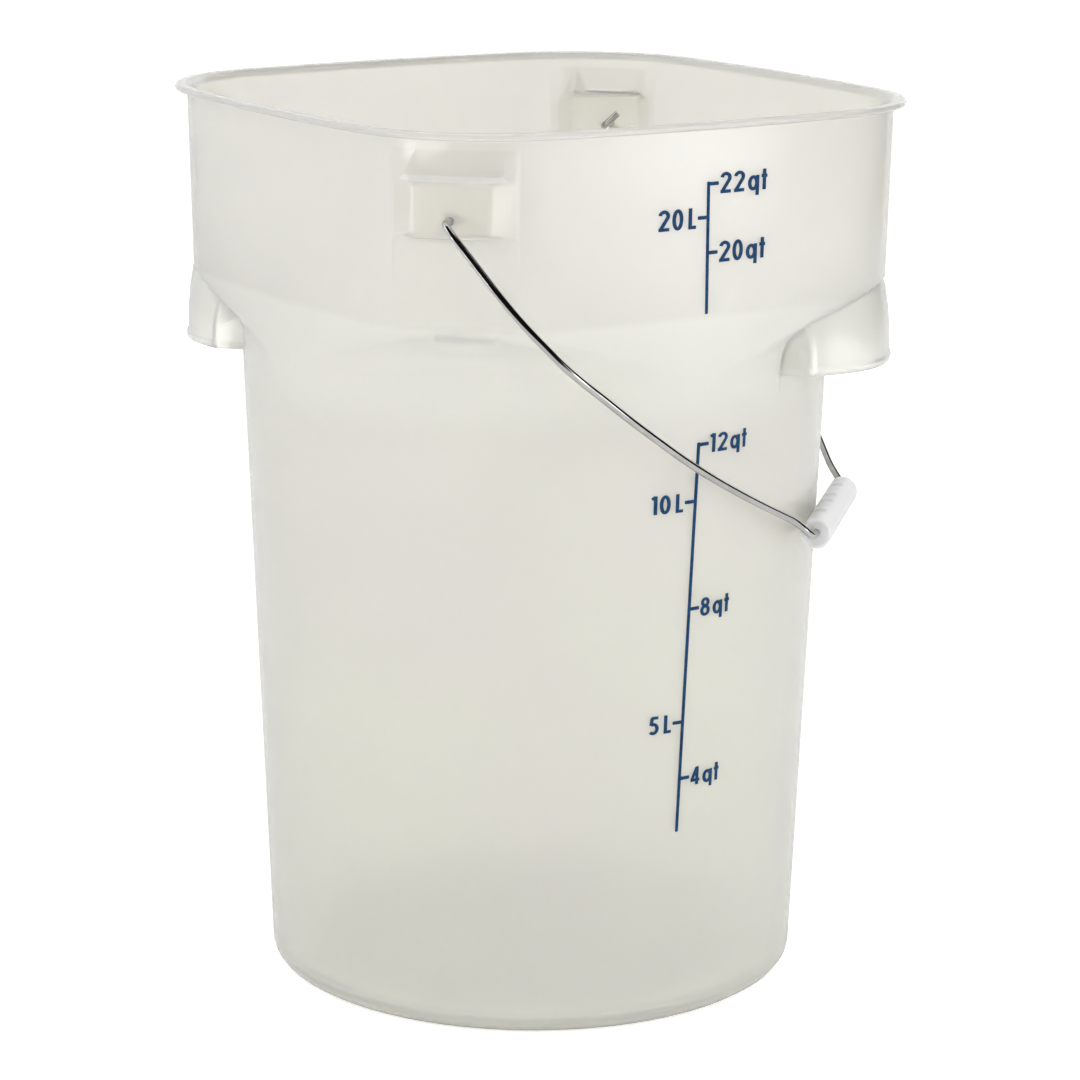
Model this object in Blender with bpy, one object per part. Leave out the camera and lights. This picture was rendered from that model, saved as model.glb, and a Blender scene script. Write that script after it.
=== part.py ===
"""A food storage pail: a round body, a rounded-square top with a flared rim, and a wire bail with a plastic grip.

Frame: metres, +Z up, origin at the centre of the base. The four corners of the square top lie on the X and Y axes.
The bail turns about a line parallel to Y, through a boss on the front and on the back corner, and hangs on the +X side.
The corners at +X and -X carry an open-bottomed skirt for the fingers.
"""

import math

import bmesh
import bpy
from mathutils import Matrix, Vector

# Square top, measured at the outer edge of the rim
OVERALL_HEIGHT = 0.405
RIM_HALF_WIDTH = 0.1409
RIM_CORNER_RADIUS = 0.0683
RIM_SIDE_RADIUS = 0.8055
UPPER_DRAFT = math.radians(1.27)

# Rim
FLANGE_REACH = 0.0055
FLANGE_THICKNESS = 0.0031
FLANGE_FILLET = 0.0012
MOUTH_RADIUS = 0.0040

# Walls and base
WALL_THICKNESS = 0.0023
FLOOR_THICKNESS = 0.0030
BODY_BASE_RADIUS = 0.1215
BODY_TOP_RADIUS = 0.1333
BASE_FILLET = 0.0072
FOOT_WIDTH = 0.0150
FOOT_HEIGHT = 0.0030
FOOT_CHAMFER = 0.0040

# Shoulder between the round body and the square top
UPPER_HEIGHT = 0.108
SHOULDER_FOOT_HEIGHT = OVERALL_HEIGHT - UPPER_HEIGHT
SHOULDER_FILLET = 0.0150
SHOULDER_SLOPE = math.radians(40.0)
SHOULDER_RUN_IN = 0.0200

# Finger skirts
SKIRT_BELOW_SHOULDER = 0.0070
SKIRT_BOTTOM_HEIGHT = SHOULDER_FOOT_HEIGHT - SKIRT_BELOW_SHOULDER
SKIRT_DIP = 0.0018
SKIRT_START_DROP = 0.0040
SKIRT_HALF_WIDTH = 0.0545
SKIRT_SIDE_DRAFT = math.radians(3.0)
SKIRT_THICKNESS = 0.0022
SKIRT_FLARE = 0.0035
SKIRT_EDGE_RADIUS = 0.0045
SKIRT_BEAD = 0.0009
SKIRT_BEAD_HEIGHT = 0.0042
SKIRT_STAND = 0.0003
SKIRT_SINK = 0.0010
SKIRT_RISE = 0.0030

# Bail bosses
PIVOT_BELOW_RIM = 0.0360
PIVOT_HEIGHT = OVERALL_HEIGHT - PIVOT_BELOW_RIM
BOSS_STAND = 0.0039
BOSS_HALF_WIDTH = 0.0172
BOSS_BELOW_PIVOT = 0.0078
BOSS_ABOVE_PIVOT = 0.0158
BOSS_SIDE_DRAFT = math.radians(43.0)
BOSS_TOP_DRAFT = math.radians(26.0)
BOSS_FLOOR_DRAFT = math.radians(8.0)
BOSS_CORNER_RADIUS = 0.0026
BOSS_CORNER_GROWTH = 0.45
BOSS_EDGE_RADIUS = 0.0012
BOSS_PLATE_THICKNESS = 0.0026
BOSS_EMBED = 0.0138

# Bail
WIRE_DIAMETER = 0.0032
PIN_CLEARANCE = 0.0004
PIN_STAND = 0.0082
PIN_REACH = 0.0105
TAIL_LENGTH = 0.0100
WIRE_BEND_RADIUS = 0.0036
BAIL_DROP = 0.2046
GRIP_LENGTH = 0.0890
GRIP_DIAMETER = 0.0138
GRIP_WALL = 0.0017
GRIP_SLOT_WIDTH = 0.0062
GRIP_CHORD = 0.0020
GRIP_RIB_THICKNESS = 0.0022
GRIP_END_INSET = 0.0014
GRIP_EDGE_RADIUS = 0.0008
GRIP_POCKETS = 5
GRIP_TURN = math.radians(25)
GRIP_WIRE_CLEARANCE = 0.0004
REST_GAP = 0.0004
CUT_OVERRUN = 0.0040

# Mesh counts
CORNER_STEPS = 12
SIDE_STEPS = 12
FILLET_STEPS = 4
SKIRT_STEPS = 12
WIRE_RESOLUTION = 3
ROUND_SIDES = 32
BISECTIONS = 48
SHARP_ANGLE = math.radians(32)

# One arm of the bail from its boss to the grip, as shares: how far out along the hinge line between half the grip's
# length and the pin's outer end, and how far down between the hinge line and the grip's axis
ARM_SHARES = (
    (1.022, 0.028),
    (1.032, 0.064),
    (1.050, 0.124),
    (1.070, 0.194),
    (1.070, 0.262),
    (1.050, 0.322),
    (1.028, 0.372),
    (0.986, 0.418),
    (0.935, 0.462),
    (0.848, 0.540),
    (0.755, 0.612),
    (0.655, 0.683),
    (0.540, 0.749),
    (0.408, 0.814),
    (0.275, 0.873),
    (0.166, 0.918),
    (0.112, 0.941),
    (0.083, 0.963),
    (0.062, 0.985),
    (0.038, 0.997),
)
ARM_STEPS = 2


def clear_scene() -> None:
    """Remove every object that is already there."""
    for old in list(bpy.data.objects):
        bpy.data.objects.remove(old, do_unlink=True)


def make_material(name: str, colour: tuple, roughness: float, metallic: float, transmission: float = 0.0):
    """Return a Principled material with these values."""
    material = bpy.data.materials.new(name)
    material.use_nodes = True
    shader = material.node_tree.nodes["Principled BSDF"]
    shader.inputs["Base Color"].default_value = (*colour, 1.0)
    shader.inputs["Roughness"].default_value = roughness
    shader.inputs["Metallic"].default_value = metallic
    shader.inputs["Transmission Weight"].default_value = transmission
    material.diffuse_color = (*colour, 1.0)
    return material


def solve(function, low: float, high: float) -> float:
    """Return where a rising function crosses zero between two values."""
    for _ in range(BISECTIONS):
        middle = (low + high) / 2
        if function(middle) < 0:
            low = middle
        else:
            high = middle
    return (low + high) / 2


def spread(low: float, high: float, steps: int) -> list:
    """Return evenly spaced values from low to high, both ends included."""
    return [low + (high - low) * index / steps for index in range(steps + 1)]


# Plan outline of the square top


def corner_centre_distance() -> float:
    """Return how far the centre of a corner's arc lies from the pail's axis."""
    offset = RIM_HALF_WIDTH - RIM_SIDE_RADIUS
    reach = RIM_SIDE_RADIUS - RIM_CORNER_RADIUS
    along_side = (offset + math.sqrt(2 * reach**2 - offset**2)) / 2
    return along_side * math.sqrt(2)


def side_half_angle() -> float:
    """Return half the angle that a bowed side turns through."""
    along_side = corner_centre_distance() / math.sqrt(2)
    return math.atan2(along_side, along_side + RIM_SIDE_RADIUS - RIM_HALF_WIDTH)


def outline_columns() -> list:
    """Return (point, normal) pairs round the rim's outer edge, anticlockwise from the +X corner."""
    columns = []
    half_angle = side_half_angle()
    corner_turn = math.pi / 4 - half_angle
    for quadrant in range(4):
        corner = quadrant * math.pi / 2
        centre = Vector((math.cos(corner), math.sin(corner))) * corner_centre_distance()
        for angle in spread(corner - corner_turn, corner + corner_turn, CORNER_STEPS)[:-1]:
            normal = Vector((math.cos(angle), math.sin(angle)))
            columns.append((centre + normal * RIM_CORNER_RADIUS, normal))
        side = corner + math.pi / 4
        back = Vector((math.cos(side), math.sin(side))) * (RIM_HALF_WIDTH - RIM_SIDE_RADIUS)
        for angle in spread(side - half_angle, side + half_angle, SIDE_STEPS)[:-1]:
            normal = Vector((math.cos(angle), math.sin(angle)))
            columns.append((back + normal * RIM_SIDE_RADIUS, normal))
    return columns


def corner_reach(across: float, inset: float) -> float:
    """Return how far out the outline lies beside the +X corner, at this distance across from it."""
    arc_radius = RIM_CORNER_RADIUS - inset
    if abs(across) < arc_radius * math.sin(math.pi / 4 - side_half_angle()):
        return corner_centre_distance() + math.sqrt(arc_radius**2 - across**2)
    side_radius = RIM_SIDE_RADIUS - inset
    back = (RIM_SIDE_RADIUS - RIM_HALF_WIDTH) / math.sqrt(2)
    return math.sqrt(side_radius**2 - (abs(across) + back) ** 2) - back


# Heights and radii of the walls


def wall_inset(height: float) -> float:
    """Return how far the upper wall's outer face lies inside the rim's outer edge at this height."""
    return FLANGE_REACH + (OVERALL_HEIGHT - FLANGE_THICKNESS - height) * math.tan(UPPER_DRAFT)


def body_radius(height: float) -> float:
    """Return the round body's outer radius at this height."""
    share = height / SHOULDER_FOOT_HEIGHT
    return BODY_BASE_RADIUS + (BODY_TOP_RADIUS - BODY_BASE_RADIUS) * share


def round_radius(height: float, offset: float) -> float:
    """Return the radius of the body and shoulder at this height, this far inside their outer face."""
    fillet = SHOULDER_FILLET + offset
    centre_radius = BODY_TOP_RADIUS + SHOULDER_FILLET
    centre_height = SHOULDER_FOOT_HEIGHT
    if height <= centre_height:
        return body_radius(height) - offset
    slope_start = centre_height + fillet * math.cos(SHOULDER_SLOPE)
    if height < slope_start:
        return centre_radius - math.sqrt(fillet**2 - (height - centre_height) ** 2)
    start_radius = centre_radius - fillet * math.sin(SHOULDER_SLOPE)
    return start_radius + (height - slope_start) / math.tan(SHOULDER_SLOPE)


def crease_height(plan_distance, offset: float) -> float:
    """Return where the shoulder meets the square wall, given the wall's distance from the axis by height."""
    return solve(
        lambda height: round_radius(height, offset) - plan_distance(height),
        SHOULDER_FOOT_HEIGHT - SHOULDER_RUN_IN / 2,
        OVERALL_HEIGHT,
    )


def boss_face_distance() -> float:
    """Return how far the flat face of a boss lies from the pail's axis."""
    return corner_reach(0, wall_inset(PIVOT_HEIGHT)) + BOSS_STAND


def pin_distances() -> tuple:
    """Return how far the inner and the outer bend of the wire's pin lie from the pail's axis."""
    face = boss_face_distance()
    return face - PIN_REACH, face + PIN_STAND


# Mesh helpers


def loft(name: str, rings: list, material=None):
    """Return an object skinned over closed rings of points, with a flat cap on the first and the last ring."""
    mesh = bpy.data.meshes.new(name)
    work = bmesh.new()
    rows = [[work.verts.new(point) for point in ring] for ring in rings]
    count = len(rows[0])
    for below, above in zip(rows, rows[1:]):
        for index in range(count):
            after = (index + 1) % count
            work.faces.new((below[index], below[after], above[after], above[index]))
    work.faces.new(list(reversed(rows[0])))
    work.faces.new(rows[-1])
    bmesh.ops.recalc_face_normals(work, faces=work.faces)
    work.to_mesh(mesh)
    work.free()
    mesh.shade_smooth()
    mesh.set_sharp_from_angle(angle=SHARP_ANGLE)
    if material:
        mesh.materials.append(material)
    obj = bpy.data.objects.new(name, mesh)
    bpy.context.scene.collection.objects.link(obj)
    return obj


def as_helper(obj):
    """Keep a cutter or an added shape out of the render, and return it."""
    obj.hide_render = True
    obj.display_type = "WIRE"
    return obj


def combine(obj, other, operation: str) -> None:
    """Join the other object to this one, or cut it away, with a Boolean modifier."""
    modifier = obj.modifiers.new(f"{operation.lower()}_{other.name}", "BOOLEAN")
    modifier.operation = operation
    modifier.solver = "EXACT"
    modifier.object = other


def remove_helpers(obj) -> None:
    """Remove the helpers of this object's Booleans, and their own helpers."""
    for modifier in list(obj.modifiers):
        helper = modifier.object
        obj.modifiers.remove(modifier)
        remove_helpers(helper)
        bpy.data.objects.remove(helper, do_unlink=True)


def settle(obj) -> None:
    """Take the Booleans into the object's own mesh, and shade it by its larger faces."""
    graph = bpy.context.evaluated_depsgraph_get()
    mesh = bpy.data.meshes.new_from_object(obj.evaluated_get(graph))
    remove_helpers(obj)
    obj.data = mesh
    mesh.name = obj.name
    mesh.shade_smooth()
    mesh.set_sharp_from_angle(angle=SHARP_ANGLE)
    weighted = obj.modifiers.new("shade_by_area", "WEIGHTED_NORMAL")
    weighted.keep_sharp = True


def round_bar(name: str, radius: float, start: float, end: float, centre: Vector):
    """Return a round bar along Y between two distances, through this centre."""
    rings = []
    for distance in (start, end):
        ring = []
        for index in range(ROUND_SIDES):
            angle = 2 * math.pi * index / ROUND_SIDES
            ring.append(centre + Vector((radius * math.cos(angle), distance, radius * math.sin(angle))))
        rings.append(ring)
    return loft(name, rings)


def round_corner(before: Vector, corner: Vector, after: Vector, radius: float) -> list:
    """Return points that take the corner of a path at this radius."""
    towards = (before - corner).normalized()
    away = (after - corner).normalized()
    half = towards.angle(away) / 2
    reach = radius / math.tan(half)
    middle = (towards + away).normalized()
    centre = corner + middle * (radius / math.sin(half))
    start = corner + towards * reach - centre
    end = corner + away * reach - centre
    turn = start.angle(end)
    points = []
    for angle in spread(0, turn, FILLET_STEPS):
        mix = (start * math.sin(turn - angle) + end * math.sin(angle)) / math.sin(turn)
        points.append(centre + mix)
    return points


# Container


def round_ring(radius: float, height: float, columns: list) -> list:
    """Return a level ring of this radius, with its points at the columns' bearings."""
    return [Vector((*(point.normalized() * radius), height)) for point, _ in columns]


def wall_rings(columns: list, offset: float, top: float, shares: tuple) -> list:
    """Return the rings from the round body over the shoulder and up the square wall to this height."""
    low = SHOULDER_FOOT_HEIGHT - SHOULDER_RUN_IN
    rows = [[] for _ in range(len(shares) + 1)]
    for point, normal in columns:

        def plan(height: float, point=point, normal=normal) -> Vector:
            """Return the square wall's plan point of this column at a height."""
            return point - normal * (wall_inset(height) + offset)

        crease = crease_height(lambda height: plan(height).length, offset)
        bearing = plan(crease).normalized()
        for row, share in zip(rows, shares):
            height = low + (crease - low) * share
            row.append(Vector((*(bearing * round_radius(height, offset)), height)))
        rows[-1].append(Vector((*plan(top), top)))
    return rows


def inset_ring(columns: list, inset: float, height: float) -> list:
    """Return a level ring that lies this far inside the rim's outer edge."""
    return [Vector((*(point - normal * inset), height)) for point, normal in columns]


def make_outer_solid(columns: list, material):
    """Return the container's outer form as a solid, with its foot, shoulder and rim."""
    rim_edge = FLANGE_THICKNESS / 2
    under_rim = OVERALL_HEIGHT - FLANGE_THICKNESS
    foot_radius = BODY_BASE_RADIUS - BASE_FILLET
    rings = [
        round_ring(foot_radius - FOOT_WIDTH - FOOT_CHAMFER, FOOT_HEIGHT, columns),
        round_ring(foot_radius - FOOT_WIDTH, 0, columns),
    ]
    for angle in spread(0, math.pi / 2, FILLET_STEPS):
        height = BASE_FILLET * (1 - math.cos(angle))
        drift = body_radius(height) - BODY_BASE_RADIUS
        rings.append(round_ring(foot_radius + drift + BASE_FILLET * math.sin(angle), height, columns))
    middle = (BASE_FILLET + SHOULDER_FOOT_HEIGHT) / 2
    rings.append(round_ring(body_radius(middle), middle, columns))
    rings += wall_rings(columns, 0, under_rim - FLANGE_FILLET, (0, 0.5, 0.66, 0.82, 1))
    for angle in spread(0, math.pi / 2, FILLET_STEPS // 2)[1:]:
        inset = FLANGE_REACH - FLANGE_FILLET * (1 - math.cos(angle))
        rings.append(inset_ring(columns, inset, under_rim - FLANGE_FILLET * (1 - math.sin(angle))))
    for angle in spread(-math.pi / 2, math.pi / 2, FILLET_STEPS):
        inset = rim_edge * (1 - math.cos(angle))
        rings.append(inset_ring(columns, inset, under_rim + rim_edge * (1 + math.sin(angle))))
    return loft("container", rings, material)


def make_interior(columns: list):
    """Return the space inside the container, from the floor to above the rim."""
    floor = FOOT_HEIGHT + FLOOR_THICKNESS
    fillet = BASE_FILLET - WALL_THICKNESS / 2
    rings = []
    for angle in spread(0, math.pi / 2, FILLET_STEPS - 1):
        height = floor + fillet * (1 - math.cos(angle))
        radius = body_radius(height) - WALL_THICKNESS - fillet * (1 - math.sin(angle))
        rings.append(round_ring(radius, height, columns))
    mouth_foot = OVERALL_HEIGHT - MOUTH_RADIUS
    rings += wall_rings(columns, WALL_THICKNESS, mouth_foot, (0, 0.5, 0.66, 0.82, 1))
    inner = wall_inset(mouth_foot) + WALL_THICKNESS
    for angle in spread(0, math.pi / 2, FILLET_STEPS)[1:]:
        inset = inner - MOUTH_RADIUS * (1 - math.cos(angle))
        rings.append(inset_ring(columns, inset, mouth_foot + MOUTH_RADIUS * math.sin(angle)))
    rings.append(inset_ring(columns, inner - MOUTH_RADIUS, OVERALL_HEIGHT + CUT_OVERRUN))
    return as_helper(loft("interior_space", rings))


def skirt_half_width(height: float) -> float:
    """Return half the skirt's width at this height: its sides lean outward as they go down."""
    return SKIRT_HALF_WIDTH - (height - SKIRT_BOTTOM_HEIGHT) * math.tan(SKIRT_SIDE_DRAFT)


def skirt_crease(share: float) -> float:
    """Return where the shoulder's crease crosses this column of the skirt, given by its share of the half width."""

    def distance(height: float) -> float:
        """Return how far this column of the wall lies from the axis."""
        across = share * skirt_half_width(height)
        return math.hypot(corner_reach(across, wall_inset(height)), across)

    return crease_height(distance, 0)


def skirt_ring(shares: list, row, inward: float) -> list:
    """Return one ring of a skirt block.

    The row gives the height and the inset of each column, by its share of the skirt's half width. The ring runs out
    along one side, round the softened edge, across the panel, and back the same way to inside the body.
    """
    deep = BODY_BASE_RADIUS - inward - CUT_OVERRUN
    height, inset = row(1)
    edge = skirt_half_width(height) - inward
    near = edge * shares[-1]
    corner = Vector((corner_reach(edge, inset + inward), edge, height))
    before = Vector((corner_reach(near, inset + inward), near, height))
    after = Vector((deep, edge, height))
    side = [*round_corner(before, corner, after, SKIRT_EDGE_RADIUS - inward), after]
    panel = []
    for share in shares:
        height, inset = row(share)
        across = share * (skirt_half_width(height) - inward)
        panel.append(Vector((corner_reach(across, inset + inward), across, height)))
    return [Vector((point.x, -point.y, point.z)) for point in reversed(side)] + panel + side


def make_skirt_block(name: str, inward: float, below: float):
    """Return the solid that fills a skirt, drawn in by this much and carried below its lower edge by this much."""
    widest = 1 - SKIRT_EDGE_RADIUS / SKIRT_HALF_WIDTH
    shares = spread(-widest, widest, SKIRT_STEPS)

    def bottom(share: float) -> float:
        """Return the height of the lower edge, which dips towards the corner."""
        return SKIRT_BOTTOM_HEIGHT - SKIRT_DIP * (1 - share**2)

    def start(share: float) -> float:
        """Return the height where the panel leaves the wall."""
        return skirt_crease(share) - SKIRT_START_DROP * (1 - share**2)

    def hanging(depth_share: float):
        """Return the row that lies at this share of the way down from the crease to the bead."""

        def row(share: float) -> tuple:
            """Return this column's height and inset."""
            height = start(share) + (bottom(share) + SKIRT_BEAD_HEIGHT - start(share)) * depth_share
            flare = SKIRT_STAND + (SKIRT_FLARE - SKIRT_STAND) * (1 - (1 - depth_share) ** 2)
            return height, wall_inset(height) - flare

        return row

    def beaded(bead_share: float):
        """Return the row at this share of the bead's height above the lower edge."""

        def row(share: float) -> tuple:
            """Return this column's height and inset."""
            height = bottom(share) + SKIRT_BEAD_HEIGHT * bead_share
            stand = 0 if inward else SKIRT_BEAD * math.sin(math.pi * bead_share)
            return height, wall_inset(height) - SKIRT_FLARE - stand

        return row

    def lowest(share: float) -> tuple:
        """Return the row that carries a cutter below the lower edge."""
        height, inset = beaded(0)(share)
        return height - below, inset

    def sunk(rise: float):
        """Return a row that lies inside the wall, this far above the crease."""

        def row(share: float) -> tuple:
            """Return this column's height and inset."""
            height = start(share) + rise
            return height, wall_inset(height) + SKIRT_SINK

        return row

    rows = [lowest] if below else []
    rows += [beaded(share) for share in spread(0, 1, FILLET_STEPS)]
    rows += [hanging(share) for share in (0.66, 0.33, 0)]
    rows += [sunk(SKIRT_RISE), sunk(SKIRT_RISE + below)]
    return as_helper(loft(name, [skirt_ring(shares, row, inward) for row in rows if below or row is not rows[-1]]))


def rounded_rectangle(half_width: float, low: float, high: float, lower_radius: float, upper_radius: float) -> list:
    """Return (across, height) points of a rounded rectangle, anticlockwise."""
    corners = (
        (half_width - upper_radius, high - upper_radius, upper_radius),
        (upper_radius - half_width, high - upper_radius, upper_radius),
        (lower_radius - half_width, low + lower_radius, lower_radius),
        (half_width - lower_radius, low + lower_radius, lower_radius),
    )
    points = []
    for quarter, (across, height, radius) in enumerate(corners):
        for angle in spread(quarter * math.pi / 2, (quarter + 1) * math.pi / 2, FILLET_STEPS - 1):
            points.append((across + radius * math.cos(angle), height + radius * math.sin(angle)))
    return points


def boss_ring(depth: float, inward: float) -> list:
    """Return the boss's outline this far behind its face, drawn in by this much all round."""
    side = depth * math.tan(BOSS_SIDE_DRAFT) - inward / math.cos(BOSS_SIDE_DRAFT)
    above = depth * math.tan(BOSS_TOP_DRAFT) - inward / math.cos(BOSS_TOP_DRAFT)
    under = depth * math.tan(BOSS_FLOOR_DRAFT) - inward / math.cos(BOSS_FLOOR_DRAFT)
    outline = rounded_rectangle(
        BOSS_HALF_WIDTH + side,
        PIVOT_HEIGHT - BOSS_BELOW_PIVOT - under,
        PIVOT_HEIGHT + BOSS_ABOVE_PIVOT + above,
        BOSS_CORNER_RADIUS,
        BOSS_CORNER_RADIUS + depth * BOSS_CORNER_GROWTH,
    )
    face = boss_face_distance()
    return [Vector((across, depth - face, height)) for across, height in outline]


def make_boss_block(name: str):
    """Return the solid form of the front boss, with a softened edge round its face."""
    rings = []
    for angle in spread(0, math.pi / 2, FILLET_STEPS // 2):
        depth = BOSS_EDGE_RADIUS * (1 - math.sin(angle))
        rings.append(boss_ring(depth, BOSS_EDGE_RADIUS * (1 - math.cos(angle))))
    rings.reverse()
    rings.append(boss_ring(BOSS_STAND + WALL_THICKNESS + BOSS_EMBED, 0))
    return as_helper(loft(name, rings))


def make_boss_recess(name: str):
    """Return the hollow behind the front boss, open to the inside of the container."""
    rings = [
        boss_ring(BOSS_PLATE_THICKNESS, WALL_THICKNESS),
        boss_ring(BOSS_STAND + WALL_THICKNESS + BOSS_EMBED + CUT_OVERRUN, WALL_THICKNESS),
    ]
    return as_helper(loft(name, rings))


def turned(obj, quarter_turns: int):
    """Turn a helper's mesh about the pail's axis, and return it."""
    obj.data.transform(Matrix.Rotation(quarter_turns * math.pi / 2, 4, "Z"))
    return obj


def make_container(material):
    """Return the one-piece moulding."""
    columns = outline_columns()
    container = make_outer_solid(columns, material)
    for side, turns in (("right", 0), ("left", 2)):
        skirt = turned(make_skirt_block(f"{side}_skirt", 0, 0), turns)
        hollow = turned(make_skirt_block(f"{side}_skirt_hollow", SKIRT_THICKNESS, CUT_OVERRUN), turns)
        combine(skirt, hollow, "DIFFERENCE")
        combine(container, skirt, "UNION")
    for side, turns in (("front", 0), ("back", 2)):
        combine(container, turned(make_boss_block(f"{side}_boss"), turns), "UNION")
    combine(container, make_interior(columns), "DIFFERENCE")
    hole_radius = WIRE_DIAMETER / 2 + PIN_CLEARANCE
    face = boss_face_distance()
    for side, turns in (("front", 0), ("back", 2)):
        combine(container, turned(make_boss_recess(f"{side}_recess"), turns), "DIFFERENCE")
        hole = round_bar(
            f"{side}_pin_hole",
            hole_radius,
            -face - CUT_OVERRUN,
            -face + BOSS_PLATE_THICKNESS + CUT_OVERRUN,
            Vector((0, 0, PIVOT_HEIGHT)),
        )
        combine(container, turned(as_helper(hole), turns), "DIFFERENCE")
    settle(container)
    return container


# Bail


def hang_angle() -> float:
    """Return the bail's angle from straight down when its grip lies against the body."""

    def room(angle: float) -> float:
        """Return how much room is left between the grip and the body."""
        out = BAIL_DROP * math.sin(angle)
        height = PIVOT_HEIGHT - BAIL_DROP * math.cos(angle)
        return out - GRIP_DIAMETER / 2 - REST_GAP - body_radius(height)

    return solve(room, 0, math.pi / 2)


def arm_points() -> list:
    """Return one arm of the bail, hanging straight down, from the tail inside the boss to the grip's end."""
    half_grip = GRIP_LENGTH / 2
    outer = pin_distances()[1]
    span = outer - half_grip
    guide = [Vector((0, half_grip + span * out, -BAIL_DROP * down)) for out, down in ARM_SHARES]
    guide.append(Vector((0, half_grip + WIRE_DIAMETER / 4, -BAIL_DROP)))
    guide.insert(0, Vector((0, outer, 0)))
    points = []
    for index in range(1, len(guide) - 1):
        before = guide[index - 1]
        start, end = guide[index], guide[index + 1]
        after = guide[min(index + 2, len(guide) - 1)]
        for step in range(ARM_STEPS):
            share = step / ARM_STEPS
            points.append(
                0.5
                * (
                    2 * start
                    + (end - before) * share
                    + (2 * before - 5 * start + 4 * end - after) * share**2
                    + (3 * start - before - 3 * end + after) * share**3
                )
            )
    return points


def bail_path() -> list:
    """Return the centre line of the whole wire, hanging straight down, from one tail to the other."""
    back_arm = arm_points()
    inner_distance, outer_distance = pin_distances()
    tail = Vector((TAIL_LENGTH, inner_distance, 0))
    inner = Vector((0, inner_distance, 0))
    outer = Vector((0, outer_distance, 0))
    bend = [
        tail,
        *round_corner(tail, inner, outer, WIRE_BEND_RADIUS),
        *round_corner(inner, outer, back_arm[0], WIRE_BEND_RADIUS),
    ]
    half = bend + back_arm
    middle = [Vector((0, GRIP_LENGTH / 2 * share, -BAIL_DROP)) for share in (0.96, 0.6, 0.2)]
    half += middle
    other = [Vector((-point.x, -point.y, point.z)) for point in reversed(half)]
    return half + other


def make_bail_wire(pivot, material):
    """Return the bent wire on its pivot."""
    curve = bpy.data.curves.new("bail_wire", "CURVE")
    curve.dimensions = "3D"
    curve.bevel_depth = WIRE_DIAMETER / 2
    curve.bevel_resolution = WIRE_RESOLUTION
    curve.use_fill_caps = True
    path = bail_path()
    spline = curve.splines.new("POLY")
    spline.points.add(len(path) - 1)
    for target, point in zip(spline.points, path):
        target.co = (*point, 1.0)
    spline.use_smooth = True
    curve.materials.append(material)
    wire = bpy.data.objects.new("bail_wire", curve)
    bpy.context.scene.collection.objects.link(wire)
    wire.parent = pivot
    return wire


def grip_ring(radius: float, distance: float) -> list:
    """Return a round ring of the grip about the wire's middle, which runs along Y."""
    ring = []
    for index in range(ROUND_SIDES):
        angle = 2 * math.pi * (index + 0.5) / ROUND_SIDES
        ring.append(Vector((radius * math.cos(angle), distance, radius * math.sin(angle))))
    return ring


def grip_box(name: str, half_width: float, low: float, high: float, start: float, end: float):
    """Return a helper block along the grip, by its half width and its heights above the wire's centre."""
    rings = []
    for distance in (start, end):
        corners = ((-half_width, low), (half_width, low), (half_width, high), (-half_width, high))
        rings.append([Vector((across, distance, height)) for across, height in corners])
    return as_helper(loft(name, rings))


def make_bail_grip(pivot, material):
    """Return the slotted, ribbed tube that turns about the wire's middle. Its slot is turned towards the body."""
    half = GRIP_LENGTH / 2
    radius = GRIP_DIAMETER / 2
    inner = radius - GRIP_WALL
    rings = []
    for angle in spread(0, math.pi / 2, 2):
        ease = GRIP_EDGE_RADIUS * (1 - math.sin(angle))
        rings.append(grip_ring(radius - GRIP_EDGE_RADIUS * (1 - math.cos(angle)), -half + ease))
    rings.reverse()
    rings += [[Vector((point.x, -point.y, point.z)) for point in ring] for ring in reversed(rings)]
    grip = loft("bail_grip", rings, material)
    grip.parent = pivot
    grip.location = (0, 0, -BAIL_DROP)
    grip.rotation_euler = (0, -GRIP_TURN, 0)

    helpers = []
    reach = half + CUT_OVERRUN
    helpers.append(grip_box("grip_slot", GRIP_SLOT_WIDTH / 2, 0, radius + CUT_OVERRUN, -reach, reach))
    helpers[-1].data.transform(Matrix.Translation((0, 0, GRIP_CHORD)))
    bore = WIRE_DIAMETER / 2 + GRIP_WIRE_CLEARANCE
    helpers.append(as_helper(round_bar("grip_bore", bore, -reach, reach, Vector((0, 0, 0)))))
    helpers.append(grip_box("grip_throat", bore, 0, GRIP_CHORD + GRIP_WALL / 2, -reach, reach))
    return grip, helpers, inner


def hollow_grip(grip, helpers: list, inner: float, pivot) -> None:
    """Cut the slot, the bore, the recessed ends and the pockets between the ribs out of the grip."""
    half = GRIP_LENGTH / 2
    reach = half + CUT_OVERRUN
    first = half - GRIP_END_INSET - GRIP_RIB_THICKNESS
    pocket = (2 * first - (GRIP_POCKETS - 1) * GRIP_RIB_THICKNESS) / GRIP_POCKETS
    stretches = [(-reach, -half + GRIP_END_INSET), (half - GRIP_END_INSET, reach)]
    for index in range(GRIP_POCKETS):
        start = -first + index * (pocket + GRIP_RIB_THICKNESS)
        stretches.append((start, start + pocket))
    for index, (start, end) in enumerate(stretches):
        helpers.append(as_helper(loft(f"grip_pocket_{index + 1}", [grip_ring(inner, start), grip_ring(inner, end)])))
    for helper in helpers:
        helper.parent = pivot
        helper.location = (0, 0, -BAIL_DROP)
        helper.rotation_euler = (0, -GRIP_TURN, 0)
        combine(grip, helper, "DIFFERENCE")
    bpy.context.view_layer.update()
    settle(grip)


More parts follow.
